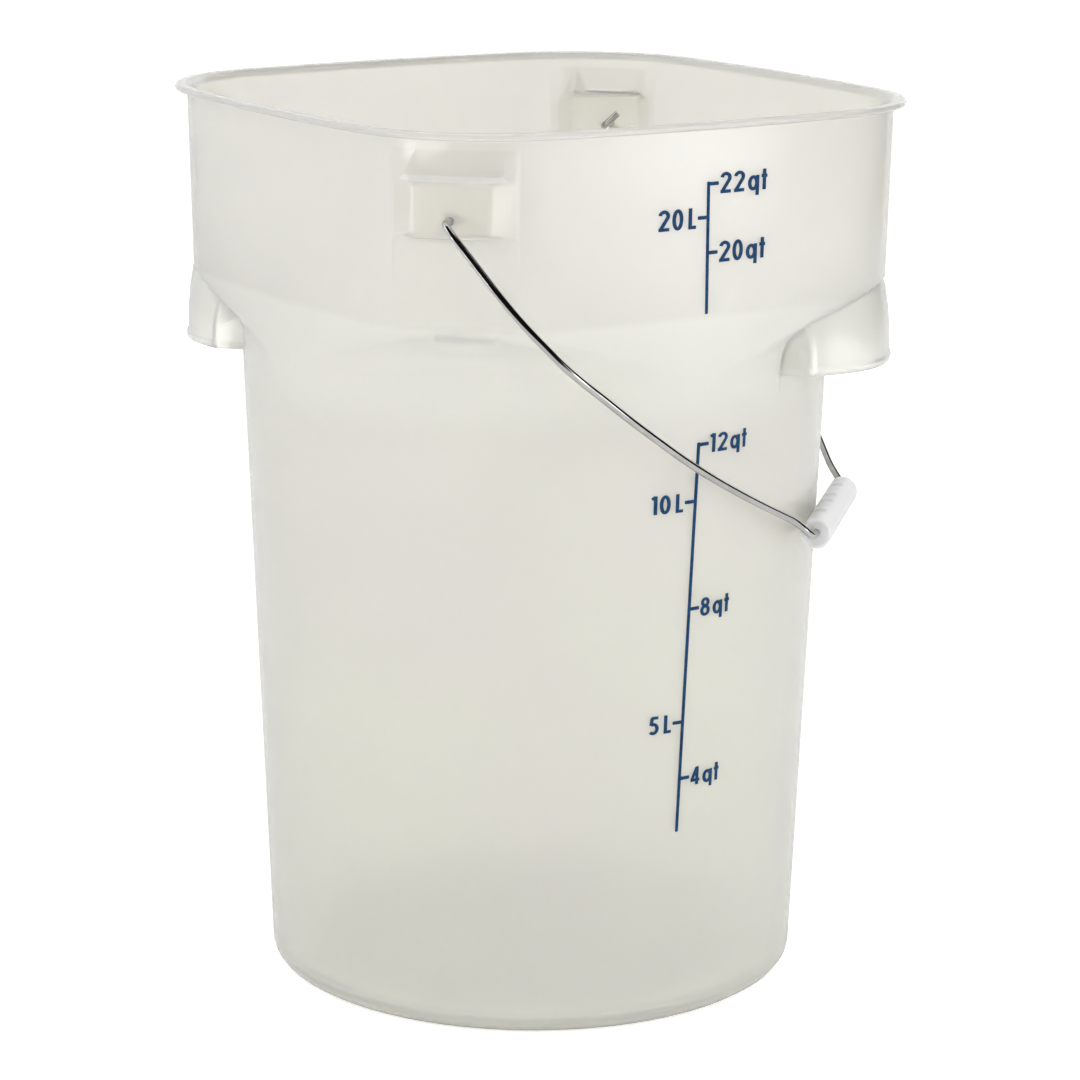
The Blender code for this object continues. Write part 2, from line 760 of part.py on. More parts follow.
def main() -> None:
    """Build the pail."""
    clear_scene()
    plastic = make_material("natural_polypropylene", (0.80, 0.80, 0.76), 0.35, 0.0, 0.15)
    steel = make_material("plated_steel_wire", (0.62, 0.62, 0.60), 0.18, 1.0)
    grip_plastic = make_material("grip_plastic", (0.80, 0.78, 0.84), 0.30, 0.0, 0.20)
    make_container(plastic)
    pivot = bpy.data.objects.new("bail_pivot", None)
    pivot.location = (0, 0, PIVOT_HEIGHT)
    pivot.rotation_euler = (0, -hang_angle(), 0)
    bpy.context.scene.collection.objects.link(pivot)
    make_bail_wire(pivot, steel)
    grip, helpers, inner = make_bail_grip(pivot, grip_plastic)
    hollow_grip(grip, helpers, inner, pivot)
    bpy.context.view_layer.update()


main()
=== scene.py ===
"""Dressed scene of a food storage pail.

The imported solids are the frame. The pail's moulding, its bail and its grip are dressed over them, the measuring scale
is printed on the wall, and a plain studio stands round the whole. Every length is in metres, +Z is up, and the four
corners of the square top lie on the X and Y axes.
"""

from __future__ import annotations

import functools
import logging
import math
from dataclasses import dataclass
from enum import Enum

import bmesh
import bpy
from bpy.types import ID, Material, Node, NodeSocket, NodeTree, Object
from mathutils import Euler, Matrix, Vector
from mathutils.bvhtree import BVHTree
from mathutils.geometry import delaunay_2d_cdt

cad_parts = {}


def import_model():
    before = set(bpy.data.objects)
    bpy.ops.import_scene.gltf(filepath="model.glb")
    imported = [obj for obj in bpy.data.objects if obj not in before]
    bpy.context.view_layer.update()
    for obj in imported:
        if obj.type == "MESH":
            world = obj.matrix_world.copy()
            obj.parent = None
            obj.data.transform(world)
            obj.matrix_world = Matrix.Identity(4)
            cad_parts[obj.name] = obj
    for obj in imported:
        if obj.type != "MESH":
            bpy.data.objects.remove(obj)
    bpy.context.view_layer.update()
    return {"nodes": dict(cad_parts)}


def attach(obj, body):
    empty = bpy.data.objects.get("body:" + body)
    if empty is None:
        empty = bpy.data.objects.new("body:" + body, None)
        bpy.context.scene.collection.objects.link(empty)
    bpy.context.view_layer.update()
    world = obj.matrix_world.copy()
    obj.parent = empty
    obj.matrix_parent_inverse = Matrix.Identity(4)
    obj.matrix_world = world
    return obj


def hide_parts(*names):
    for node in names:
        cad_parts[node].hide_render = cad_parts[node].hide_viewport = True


LOG = logging.getLogger("pail")

MERGE_DISTANCE = 1e-5
FACE_WEIGHT = 90
SAME_POINT = 1e-9
MITRE_LIMIT = 0.5
CORNERS = ((-1, -1), (1, -1), (1, 1), (-1, 1))
CAP_REACH = 0.5
CAP_WIDTH = 0.6

Spot = tuple[float, float]
Place = tuple[float, float, float]
Colour = tuple[float, float, float]
Shapes = list[list[Spot]]


class Body(Enum):
    """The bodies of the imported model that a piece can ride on."""

    CONTAINER = "container"
    BAIL = "bail"
    GRIP = "grip"


class Slot(Enum):
    """The material slots of the record."""

    POLYPROPYLENE = "natural_polypropylene"
    WIRE = "plated_steel_wire"
    GRIP = "grip_plastic"


class LabelSide(Enum):
    """The side of the scale's line that a label stands on: quarts to the right, litres to the left."""

    QUARTS = 1
    LITRES = -1


# Shared shader effects


class NodeKit:
    """Adds nodes to a node tree in a few words."""

    def __init__(self, tree: NodeTree) -> None:
        """Hold the tree that the nodes go into."""
        self.tree = tree

    def add(self, kind: str, **settings: object) -> Node:
        """Return a new node of this type, with its own properties set by name."""
        node = self.tree.nodes.new(kind)
        for name, value in settings.items():
            setattr(node, name, value)
        return node

    def link(self, source: NodeSocket, target: NodeSocket) -> None:
        """Join an output to an input."""
        self.tree.links.new(source, target)

    def maths(self, operation: str, first: object, second: object = None, clamp: bool = False) -> NodeSocket:
        """Return the result of a Math node on one or two numbers or sockets, kept between 0 and 1 if clamped."""
        node = self.add("ShaderNodeMath", operation=operation, use_clamp=clamp)
        for socket, value in zip(node.inputs, (first, second)):
            if isinstance(value, (int, float)):
                socket.default_value = value
            elif value is not None:
                self.link(value, socket)
        return node.outputs[0]

    def between(self, value: NodeSocket, start: float, end: float, low: float, high: float) -> NodeSocket:
        """Return a value that goes smoothly from low to high while the given one goes from start to end."""
        node = self.add("ShaderNodeMapRange", interpolation_type="SMOOTHSTEP")
        self.link(value, node.inputs["Value"])
        for name, number in (("From Min", start), ("From Max", end), ("To Min", low), ("To Max", high)):
            node.inputs[name].default_value = number
        return node.outputs["Result"]

    def step(self, value: NodeSocket, edge: float, soft: float, rising: bool = True) -> NodeSocket:
        """Return a mask that rises from 0 to 1 at an edge, or falls, with soft as half the width of the change."""
        return self.between(value, edge - soft, edge + soft, float(not rising), float(rising))

    def product(self, *factors: NodeSocket) -> NodeSocket:
        """Return the product of several values."""
        return functools.reduce(lambda first, second: self.maths("MULTIPLY", first, second), factors)

    def blend(self, share: NodeSocket, first: object, second: object) -> NodeSocket:
        """Return a mix of two colours or sockets, in which the share says how much of the second there is."""
        node = self.add("ShaderNodeMix", data_type="RGBA")
        self.link(share, node.inputs["Factor"])
        colour_inputs = [s for s in node.inputs if s.type == "RGBA"]
        for socket, value in zip(colour_inputs, (first, second)):
            if isinstance(value, tuple):
                socket.default_value = (*value, 1.0)
            else:
                self.link(value, socket)
        return next(s for s in node.outputs if s.type == "RGBA")


class SharedEffect(Enum):
    """The node groups that more than one finish uses."""

    SOFT_MOTTLE = "soft_mottle"
    FINE_GRAIN = "fine_grain"
    RUB_MARKS = "rub_marks"
    PAINTED_EDGE_HIGHLIGHT = "painted_edge_highlight"


class EffectShelf:
    """Builds each shared node group once and places it in the finishes."""

    CLOUD_EDGES = (0.30, 0.70)
    COARSE_SHARE = 0.06
    SCUFF_STRETCH = (1.0, 1.0, 9.0)
    SCUFF_TURN = (0.12, 0.2, 0.0)
    SCUFF_EDGES = (0.56, 0.66)
    PATCH_SCALE = 14.0
    PATCH_EDGES = (0.45, 0.65)
    OPEN_EDGES = (0.55, 0.95)
    GLOW_SAMPLES = 3

    def __init__(self) -> None:
        """Start with no group built."""
        self.built: dict[SharedEffect, NodeTree] = {}

    def place(self, kit: NodeKit, effect: SharedEffect, **values: float) -> Node:
        """Place an effect's group in a material's tree.

        Args:
            kit: The material's node kit.
            effect: The effect.
            values: The values of its inputs.

        Returns:
            The group's node.
        """
        if effect not in self.built:
            makers = {
                SharedEffect.SOFT_MOTTLE: self._soft_mottle,
                SharedEffect.FINE_GRAIN: self._fine_grain,
                SharedEffect.RUB_MARKS: self._rub_marks,
                SharedEffect.PAINTED_EDGE_HIGHLIGHT: self._painted_edge_highlight,
            }
            self.built[effect] = makers[effect]()
        node = kit.add("ShaderNodeGroup", node_tree=self.built[effect])
        coordinates = kit.add("ShaderNodeTexCoord")
        kit.link(coordinates.outputs["Object"], node.inputs["Point"])
        for name, value in values.items():
            node.inputs[name].default_value = value
        return node

    @staticmethod
    def _new(name: str, numbers: dict[str, float], output: str) -> tuple[NodeKit, Node, Node]:
        """Start a group with a Point input, numbers with their defaults and one output.
        """
        tree = bpy.data.node_groups.new(name, "ShaderNodeTree")
        tree.interface.new_socket("Point", in_out="INPUT", socket_type="NodeSocketVector")
        for label, value in numbers.items():
            tree.interface.new_socket(label, in_out="INPUT", socket_type="NodeSocketFloat").default_value = value
        tree.interface.new_socket(output, in_out="OUTPUT", socket_type="NodeSocketFloat")
        kit = NodeKit(tree)
        return kit, kit.add("NodeGroupInput"), kit.add("NodeGroupOutput")

    @staticmethod
    def _noise(
        kit: NodeKit, spot: object, scale: object, detail: float, roughness: float = 0.5, distortion: float = 0.0
    ) -> NodeSocket:
        """Return the value of a noise texture at a place, with its scale as a number or a socket."""
        noise = kit.add("ShaderNodeTexNoise")
        inputs = {"Vector": spot, "Scale": scale, "Detail": detail, "Roughness": roughness, "Distortion": distortion}
        for name, value in inputs.items():
            if isinstance(value, float):
                noise.inputs[name].default_value = value
            else:
                kit.link(value, noise.inputs[name])
        return noise.outputs[0]

    def _soft_mottle(self) -> NodeTree:
        """Return cloudy patches from 0 to 1, as in milky plastic."""
        kit, given, result = self._new("soft_mottle", {"Scale": 12.0, "Drift": 0.0}, "Mask")
        spot = kit.add("ShaderNodeVectorMath", operation="ADD")
        kit.link(given.outputs["Point"], spot.inputs[0])
        kit.link(given.outputs["Drift"], spot.inputs[1])
        scale = given.outputs["Scale"]
        cloud = self._noise(kit, spot.outputs[0], scale, detail=4.0, roughness=0.52, distortion=0.6)
        kit.link(kit.between(cloud, *self.CLOUD_EDGES, 0.0, 1.0), result.inputs[0])
        return kit.tree

    def _fine_grain(self) -> NodeTree:
        """Return a fine height grain, as a mould's polished steel leaves."""
        kit, given, result = self._new("fine_grain", {"Scale": 900.0, "Coarse": 0.35}, "Height")
        point, scale = given.outputs["Point"], given.outputs["Scale"]
        fine = self._noise(kit, point, scale, detail=2.0)
        broad = self._noise(kit, point, kit.maths("MULTIPLY", scale, self.COARSE_SHARE), detail=1.0)
        heavy = kit.maths("MULTIPLY", broad, given.outputs["Coarse"])
        kit.link(kit.maths("ADD", fine, heavy), result.inputs[0])
        return kit.tree

    def _rub_marks(self) -> NodeTree:
        """Return a mask of short fine scuffs that lie mostly level, as stacking and handling leave."""
        kit, given, result = self._new("rub_marks", {"Scale": 60.0, "Amount": 0.5}, "Mask")
        stretch = kit.add("ShaderNodeMapping")
        stretch.inputs["Scale"].default_value = self.SCUFF_STRETCH
        stretch.inputs["Rotation"].default_value = self.SCUFF_TURN
        kit.link(given.outputs["Point"], stretch.inputs["Vector"])
        lines = self._noise(kit, stretch.outputs[0], given.outputs["Scale"], detail=5.0, roughness=0.7)
        patches = self._noise(kit, given.outputs["Point"], self.PATCH_SCALE, detail=2.0)
        here = kit.between(patches, *self.PATCH_EDGES, 0.0, 1.0)
        sharp = kit.between(lines, *self.SCUFF_EDGES, 0.0, 1.0)
        both = kit.product(here, sharp)
        kit.link(kit.maths("MULTIPLY", both, given.outputs["Amount"], clamp=True), result.inputs[0])
        return kit.tree

    def _painted_edge_highlight(self) -> NodeTree:
        """Return a mask of the piece's edges and inner corners, where a painted highlight lightens the plastic."""
        kit, given, result = self._new("painted_edge_highlight", {"Reach": 0.0015, "Amount": 0.5}, "Mask")
        masks = []
        for inside in (True, False):
            near = kit.add("ShaderNodeAmbientOcclusion", inside=inside, only_local=True, samples=self.GLOW_SAMPLES)
            kit.link(given.outputs["Reach"], near.inputs["Distance"])
            masks.append(kit.between(near.outputs["AO"], *self.OPEN_EDGES, 1.0, 0.0))
        both = kit.maths("MAXIMUM", *masks)
        kit.link(kit.maths("MULTIPLY", both, given.outputs["Amount"], clamp=True), result.inputs[0])
        return kit.tree


def principled(name: str, fixed: dict[str, float | Colour]) -> tuple[Material, NodeKit, Node]:
    """Return a Principled material, its node kit and its shader, with the values set that are the same all over."""
    material = bpy.data.materials.new(name)
    material.use_nodes = True
    shader = material.node_tree.nodes["Principled BSDF"]
    for label, value in fixed.items():
        shader.inputs[label].default_value = value
    return material, NodeKit(material.node_tree), shader


# Finishes


# The colour of the painted highlights at edges, inner corners and the bosses' top bevels.
PAINTED_HIGHLIGHT: Colour = (1.0, 0.995, 0.97)


@dataclass(frozen=True)
class PaintedLightZone:
    """A box of another colour, mirrored in X and Y, that paints shade or a highlight on a part; on a thick part it also
    gives the thicker plastic's denser tone.
    """

    colour: Colour
    side: float
    out: float
    foot: float
    top: float
    soft: float

    def mask(self, kit: NodeKit, parts: Node) -> NodeSocket:
        """Return the mask of the box, from the node that splits the Object coordinates."""
        edges = (("X", self.side, False), ("Y", self.out, True), ("Z", self.foot, True), ("Z", self.top, False))
        sizes = {axis: kit.maths("ABSOLUTE", parts.outputs[axis]) for axis in "XYZ"}
        return kit.product(*(kit.step(sizes[axis], edge, self.soft, rising) for axis, edge, rising in edges))


@dataclass(frozen=True)
class HeightBand:
    """A level band of another colour, which fades in and out with the height."""

    colour: Colour
    starts: float
    full: float
    still: float
    ends: float

    def mask(self, kit: NodeKit, parts: Node) -> NodeSocket:
        """Return the mask of the band, from the node that splits the Object coordinates."""
        above = kit.between(parts.outputs["Z"], self.starts, self.full, 0.0, 1.0)
        return kit.product(above, kit.between(parts.outputs["Z"], self.still, self.ends, 1.0, 0.0))


@dataclass(frozen=True)
class PaintedWireShade:
    """Painted shade: soft grey patches on top of a tube along Y, for the wire and the shaded pockets between its ribs
    seen through its wall.
    """

    over: Spot
    places: tuple[float, ...] = (0.0063, 0.0267)
    half_length: float = 0.0028
    half_width: float = 0.0030
    soft: float = 0.0011
    colour: Colour = (0.60, 0.59, 0.63)
    strength: float = 0.75

    def mask(self, kit: NodeKit, parts: Node) -> NodeSocket:
        """Return the mask of the patches, from the node that splits the Object coordinates."""
        along = kit.maths("ABSOLUTE", parts.outputs["Y"])
        spots = []
        for place in self.places:
            off = kit.maths("ABSOLUTE", kit.maths("SUBTRACT", along, place))
            spots.append(kit.step(off, self.half_length, self.soft, rising=False))
        over_x, over_z = self.over
        aside = kit.maths("ABSOLUTE", kit.maths("SUBTRACT", parts.outputs["X"], over_x))
        narrow = kit.step(aside, self.half_width, self.soft, rising=False)
        above = kit.step(parts.outputs["Z"], over_z + self.soft, self.soft)
        return kit.maths("MULTIPLY", kit.product(kit.maths("MAXIMUM", *spots), narrow, above), self.strength)


@dataclass(frozen=True)
class Finish:
    """What every finish has: a cloud in its colour, wear in its gloss and a fine grain."""

    name: str
    roughness: float
    mottle_scale: float
    mottle_drift: float = 0.0
    scuffs: float = 0.0
    scuff_scale: float = 55.0
    wear_roughness: float = 0.2
    grain_scale: float = 1500.0
    grain_depth: float = 0.00002
    grain_strength: float = 0.6

    def fixed(self) -> dict[str, float | Colour]:
        """Return the shader's values that are the same all over, by socket name."""
        raise NotImplementedError

    def colour(self, kit: NodeKit, shelf: EffectShelf, mottle: NodeSocket) -> NodeSocket:
        """Return the finish's colour, with its cloud."""
        raise NotImplementedError

    def wear(self, kit: NodeKit, shelf: EffectShelf, mottle: NodeSocket) -> NodeSocket:
        """Return the mask of what dulls the finish."""
        return shelf.place(kit, SharedEffect.RUB_MARKS, Scale=self.scuff_scale, Amount=self.scuffs).outputs[0]

    def build(self, shelf: EffectShelf) -> Material:
        """Return the material, built with the shared effects."""
        material, kit, shader = principled(self.name, self.fixed())
        cloud = shelf.place(kit, SharedEffect.SOFT_MOTTLE, Scale=self.mottle_scale, Drift=self.mottle_drift)
        mottle = cloud.outputs[0]
        kit.link(self.colour(kit, shelf, mottle), shader.inputs["Base Color"])
        worn = kit.maths("MULTIPLY", self.wear(kit, shelf, mottle), self.wear_roughness)
        kit.link(kit.maths("ADD", worn, self.roughness), shader.inputs["Roughness"])
        grain = shelf.place(kit, SharedEffect.FINE_GRAIN, Scale=self.grain_scale)
        bump = kit.add("ShaderNodeBump")
        bump.inputs["Distance"].default_value = self.grain_depth
        bump.inputs["Strength"].default_value = self.grain_strength
        kit.link(grain.outputs[0], bump.inputs["Height"])
        kit.link(bump.outputs[0], shader.inputs["Normal"])
        return material


@dataclass(frozen=True)
class MilkyPlastic(Finish):
    """Natural, translucent plastic: a pale milky colour with soft cloud, and a fine satin skin."""

    pale: Colour = (1.0, 1.0, 1.0)
    dense: Colour = (1.0, 1.0, 1.0)
    cloud: float = 0.5
    transmission: float = 0.5
    ior: float = 1.49
    coat: float = 0.2
    coat_roughness: float = 0.09
    scatter_depth: float = 0.008
    scatter_reach: Colour = (1.0, 0.98, 0.88)
    dense_below: float = 0.0
    pale_above: float = 0.405
    # The strength and reach of the painted highlight at edges and inner corners.
    glow: float = 0.7
    glow_reach: float = 0.0015
    # Boxes and bands of painted shade and painted light.
    painted_zones: tuple[PaintedLightZone | HeightBand | PaintedWireShade, ...] = ()

    def fixed(self) -> dict[str, float | Colour]:
        """Return the shader's values that are the same all over, by socket name."""
        return {
            "IOR": self.ior,
            "Transmission Weight": self.transmission,
            "Metallic": 0.0,
            "Coat Weight": self.coat,
            "Coat Roughness": self.coat_roughness,
            "Subsurface Weight": 1.0,
            "Subsurface Scale": self.scatter_depth,
            "Subsurface Radius": self.scatter_reach,
        }

    def colour(self, kit: NodeKit, shelf: EffectShelf, mottle: NodeSocket) -> NodeSocket:
        """Return the plastic's colour: denser low down, with painted shade and painted light in its zones, and a
        painted highlight at its edges and inner corners.
        """
        place = kit.add("ShaderNodeTexCoord")
        parts = kit.add("ShaderNodeSeparateXYZ")
        kit.link(place.outputs["Object"], parts.inputs[0])
        rise = kit.between(parts.outputs["Z"], self.dense_below, self.pale_above, 0.0, 1.0)
        swing = kit.maths("MULTIPLY", kit.maths("SUBTRACT", mottle, 0.5), self.cloud)
        colour = kit.blend(kit.maths("ADD", rise, swing, clamp=True), self.dense, self.pale)
        for tint in self.painted_zones:
            colour = kit.blend(tint.mask(kit, parts), colour, tint.colour)
        # Painted highlight at the edges and inner corners.
        edges = shelf.place(kit, SharedEffect.PAINTED_EDGE_HIGHLIGHT, Reach=self.glow_reach, Amount=self.glow)
        return kit.blend(edges.outputs[0], colour, PAINTED_HIGHLIGHT)


@dataclass(frozen=True)
class PlatedWire(Finish):
    """Bright plated wire with faint dulled patches and drawing marks."""

    bright: Colour = (0.54, 0.54, 0.525)
    dull: Colour = (0.38, 0.38, 0.365)
    dull_share: float = 0.5

    def fixed(self) -> dict[str, float | Colour]:
        """Return the shader's values that are the same all over, by socket name."""
        return {"Metallic": 1.0}

    def colour(self, kit: NodeKit, shelf: EffectShelf, mottle: NodeSocket) -> NodeSocket:
        """Return the plating's colour, with its dulled patches."""
        return kit.blend(kit.maths("MULTIPLY", mottle, self.dull_share), self.bright, self.dull)


@dataclass(frozen=True)
class ScaleInk(Finish):
    """Dark blue ink that was rolled on: slightly uneven in depth, with a low satin sheen."""

    deep: Colour = (0.004, 0.032, 0.095)
    thin: Colour = (0.009, 0.055, 0.145)
    ior: float = 1.45
    sheen: float = 0.15

    def fixed(self) -> dict[str, float | Colour]:
        """Return the shader's values that are the same all over, by socket name."""
        return {"IOR": self.ior, "Metallic": 0.0, "Specular IOR Level": self.sheen}

    def colour(self, kit: NodeKit, shelf: EffectShelf, mottle: NodeSocket) -> NodeSocket:
        """Return the ink's colour, paler where the film is thin."""
        return kit.blend(mottle, self.deep, self.thin)

    def wear(self, kit: NodeKit, shelf: EffectShelf, mottle: NodeSocket) -> NodeSocket:
        """Return the mask of what dulls the ink, which is where its film is thin."""
        return mottle


@dataclass(frozen=True)
class PaleFloor:
    """A plain pale floor that shows as white and keeps the object's shadow."""

    name: str = "pale_floor"
    colour: Colour = (0.95, 0.95, 0.95)
    lift: float = 0.5
    mirror_share: float = 0.1

    def build(self) -> Material:
        """Return the material."""
        material = bpy.data.materials.new(self.name)
        material.use_nodes = True
        kit = NodeKit(material.node_tree)
        material.node_tree.nodes.clear()
        result = kit.add("ShaderNodeOutputMaterial")
        diffuse = kit.add("ShaderNodeBsdfDiffuse")
        diffuse.inputs["Color"].default_value = (*self.colour, 1.0)
        glow = kit.add("ShaderNodeEmission")
        kit.link(kit.maths("MULTIPLY", seen_rays(kit, self.mirror_share), self.lift), glow.inputs["Strength"])
        both = kit.add("ShaderNodeAddShader")
        kit.link(diffuse.outputs[0], both.inputs[0])
        kit.link(glow.outputs[0], both.inputs[1])
        kit.link(both.outputs[0], result.inputs["Surface"])
        return material


def seen_rays(kit: NodeKit, mirror_share: float = 1.0) -> NodeSocket:
    """Return 1 for a camera or transmission ray, the share for a glossy ray, and 0 for the rest."""
    path = kit.add("ShaderNodeLightPath")
    mirrored = kit.maths("MULTIPLY", path.outputs["Is Glossy Ray"], mirror_share)
    seen = kit.maths("MAXIMUM", path.outputs["Is Camera Ray"], path.outputs["Is Transmission Ray"])
    return kit.maths("MAXIMUM", seen, mirrored)


# Mesh helpers


def spread(low: float, high: float, steps: int) -> list[float]:
    """Return evenly spaced values from low to high, both ends included."""
    return [low + (high - low) * index / steps for index in range(steps + 1)]


def new_object(data: ID) -> Object:
    """Return a new object that holds this mesh, lamp or camera and has its name, in the scene."""
    obj = bpy.data.objects.new(data.name, data)
    bpy.context.scene.collection.objects.link(obj)
    return obj


def finish_piece(obj: Object, body: Body, replaced: str | None = None) -> None:
    """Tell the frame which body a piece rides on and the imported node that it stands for, if it has them."""
    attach(obj, body.value)
    if replaced:
        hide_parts(replaced)
    LOG.info("%s: %d faces, rides on %s", obj.name, len(obj.data.polygons), body.value)


def merged_copy(source: Object, name: str, sharp: float) -> Object:
    """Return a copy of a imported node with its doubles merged, shaded smooth below this angle by its faces' size."""
    mesh = bpy.data.meshes.new(name)
    work = bmesh.new()
    work.from_mesh(source.data)
    bmesh.ops.remove_doubles(work, verts=work.verts, dist=MERGE_DISTANCE)
    bmesh.ops.recalc_face_normals(work, faces=work.faces)
    work.to_mesh(mesh)
    work.free()
    mesh.shade_smooth()
    mesh.set_sharp_from_angle(angle=sharp)
    obj = new_object(mesh)
    weighted = obj.modifiers.new("shade_by_area", "WEIGHTED_NORMAL")
    weighted.keep_sharp = True
    weighted.weight = FACE_WEIGHT
    return obj


# The moulded pieces


@dataclass(frozen=True)
class MouldedPiece:
    """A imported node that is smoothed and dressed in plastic."""

    node: str
    name: str
    body: Body
    slot: Slot
    finish: MilkyPlastic
    casts_shadow: bool = True
    sharp_angle: float = math.radians(32)

    def build(self, nodes: dict[str, Object], shelf: EffectShelf) -> Object:
        """Return the dressed piece.

        Args:
            nodes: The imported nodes.
            shelf: The shared effects.

        Returns:
            The piece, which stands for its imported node.
        """
        piece = merged_copy(nodes[self.node], self.name, self.sharp_angle)
        piece.data.materials.append(self.finish.build(shelf))
        piece.visible_shadow = self.casts_shadow
        finish_piece(piece, self.body, self.node)
        return piece


# The one-piece pail: round body, square top, rim, bosses and finger skirts.
PAIL = MouldedPiece(
    node="container",
    name="pail_moulding",
    body=Body.CONTAINER,
    slot=Slot.POLYPROPYLENE,
    finish=MilkyPlastic(
        name="milky_polypropylene",
        pale=(0.905, 0.89, 0.83),
        dense=(0.94, 0.93, 0.83),
        cloud=0.9,
        roughness=0.22,
        transmission=0.55,
        mottle_scale=9.0,
        scuffs=0.08,
        grain_scale=700.0,
        painted_zones=(
            # Painted shade on the bosses' flanks and plates, partly the thicker plastic's denser tone.
            PaintedLightZone(colour=(0.845, 0.83, 0.765), side=0.0280, out=0.1548, foot=0.3595, top=0.3975, soft=0.0008),
            PaintedLightZone(colour=(0.84, 0.82, 0.745), side=0.0258, out=0.1575, foot=0.3605, top=0.3848, soft=0.0003),
            # A painted highlight on the top bevel over each plate.
            PaintedLightZone(colour=PAINTED_HIGHLIGHT, side=0.0258, out=0.1575, foot=0.3848, top=0.3868, soft=0.0003),
            # A painted lighter band that lifts the shade on the wall under the shoulder.
            HeightBand(colour=(1.0, 0.99, 0.89), starts=0.268, full=0.292, still=0.319, ends=0.3235),
        ),
    ),
)

# The slotted, ribbed tube on the wire's straight middle. Light passes the milky grip, so it leaves no dark shadow on
# the wall beside it.
GRIP = MouldedPiece(
    node="bail_grip",
    name="ribbed_grip",
    body=Body.GRIP,
    slot=Slot.GRIP,
    casts_shadow=False,
    finish=MilkyPlastic(
        name="milky_grip_plastic",
        pale=(0.98, 0.97, 0.995),
        dense=(0.97, 0.955, 0.99),
        cloud=0.6,
        roughness=0.30,
        transmission=0.30,
        mottle_scale=60.0,
        scuffs=0.15,
        coat=0.15,
        coat_roughness=0.3,
        # Painted shade where the wire and the pockets show through the grip's top.
        painted_zones=(PaintedWireShade(over=(0.1366, 0.2195)),),
    ),
)


# The printed scale


@dataclass(frozen=True)
class Glyph:
    """A character drawn in strokes, in units of its own height, with its foot on y = 0."""

    width: float
    strokes: tuple[tuple[Spot, ...], ...]


def counter_clockwise(shape: list[Spot]) -> list[Spot]:
    """Return a flat shape's corners in counter-clockwise order round their middle."""
    middle = [sum(corner[axis] for corner in shape) / len(shape) for axis in (0, 1)]
    return sorted(shape, key=lambda corner: math.atan2(corner[1] - middle[1], corner[0] - middle[0]))


def arc(centre: Spot, reach: Spot, start: float, end: float, steps: int) -> tuple[Spot, ...]:
    """Return points on an upright ellipse.

    Args:
        centre: Its centre.
        reach: Its two half widths.
        start: The angle of the first point, in degrees.
        end: The angle of the last point.
        steps: The number of steps between them.

    Returns:
        The points.
    """
    return tuple(
        (centre[0] + reach[0] * math.cos(math.radians(turn)), centre[1] + reach[1] * math.sin(math.radians(turn)))
        for turn in spread(start, end, steps)
    )


GLYPHS: dict[str, Glyph] = {
    "0": Glyph(0.48, (arc((0.24, 0.5), (0.165, 0.425), 0, 360, 28),)),
    "1": Glyph(0.27, (((0.19, 0.0), (0.19, 1.0)), ((0.02, 0.845), (0.11, 0.90), (0.19, 0.965)))),
    "2": Glyph(
        0.52, ((*arc((0.26, 0.725), (0.178, 0.20), 172, -28, 14), (0.09, 0.06)), ((0.02, 0.077), (0.50, 0.077)))
    ),
    "4": Glyph(0.50, (((0.345, 0.0), (0.345, 1.0)), ((0.325, 0.95), (0.075, 0.285)), ((0.01, 0.265), (0.49, 0.265)))),
    "5": Glyph(
        0.48,
        (
            ((0.45, 0.923), (0.15, 0.923)),
            ((0.175, 0.96), (0.115, 0.53)),
            (*arc((0.225, 0.325), (0.178, 0.248), 128, -140, 18),),
        ),
    ),
    "8": Glyph(
        0.49, (arc((0.245, 0.745), (0.145, 0.182), 0, 360, 22), arc((0.245, 0.300), (0.167, 0.223), 0, 360, 24))
    ),
    "L": Glyph(0.35, (((0.078, 0.0), (0.078, 1.0)), ((0.0, 0.077), (0.35, 0.077)))),
    "q": Glyph(0.52, (arc((0.245, 0.36), (0.168, 0.287), 0, 360, 24), ((0.445, -0.24), (0.445, 0.73)))),
    "t": Glyph(0.28, (((0.14, 0.0), (0.14, 1.0)), ((0.0, 0.67), (0.28, 0.67)))),
}


@dataclass(frozen=True)
class Graduation:
    """One mark of the scale: its label, its height on the wall, and the side it stands on."""

    label: str
    height: float
    side: LabelSide


@dataclass(frozen=True)
class ScaleRun:
    """One upright line of the scale with its marks, on one part of the wall.

    Places run across the wall from the middle of the printed face, to the right.
    """

    top: float
    bottom: float
    across_top: float
    across_bottom: float
    letter_height: float
    marks: tuple[Graduation, ...]
    slice_width: float

    def across(self, height: float) -> float:
        """Return where the line stands at this height."""
        share = (self.top - height) / (self.top - self.bottom)
        return self.across_top + (self.across_bottom - self.across_top) * share


